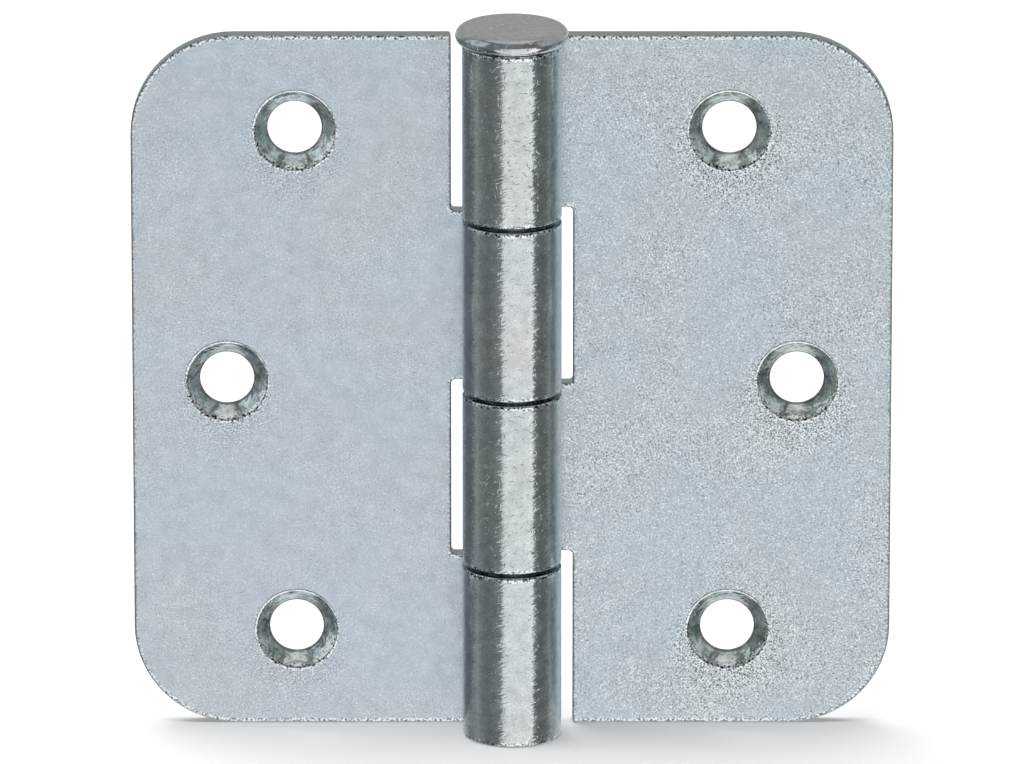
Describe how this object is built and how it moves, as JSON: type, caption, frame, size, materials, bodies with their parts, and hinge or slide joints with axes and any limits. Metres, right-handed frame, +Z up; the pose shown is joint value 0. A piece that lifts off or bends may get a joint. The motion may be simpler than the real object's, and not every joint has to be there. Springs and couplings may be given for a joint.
{
  "type": "loose pin hinge",
  "caption": "Loose pin hinge: flat sheet leaves with rounded outer corners, countersunk screw holes and rolled knuckles that interlock on a flat-headed pin, which lifts out.",
  "frame": {"origin": "on the pin axis, level with the lower end of the barrel", "axes": "+Z up along the pin towards its head, leaves opened flat along -X and +X, flat backs towards +Y, barrel and countersinks towards -Y"},
  "size_m": [0.074, 0.011, 0.0718],
  "materials": {
    "zinc_plated_leaf": "blue-white zinc plating over cold-rolled sheet, satin with a fine mottled grain",
    "zinc_plated_pin": "blue-white zinc plating over drawn wire, smooth and bright"
  },
  "bodies": {
    "fixed_leaf": {"right_leaf": "zinc_plated_leaf"},
    "swing_leaf": {"left_leaf": "zinc_plated_leaf"},
    "loose_pin": {"hinge_pin": "zinc_plated_pin"}
  },
  "joints": [
    {"name": "leaf_swing", "type": "hinge", "parent": "fixed_leaf", "child": "swing_leaf", "pos_m": [0, 0, 0.035], "axis": [0, 0, 1], "range_deg": [-100, 188]},
    {"name": "pin_draw", "type": "slide", "parent": "fixed_leaf", "child": "loose_pin", "axis": [0, 0, 1], "range_m": [0, 0.075]}
  ]
}
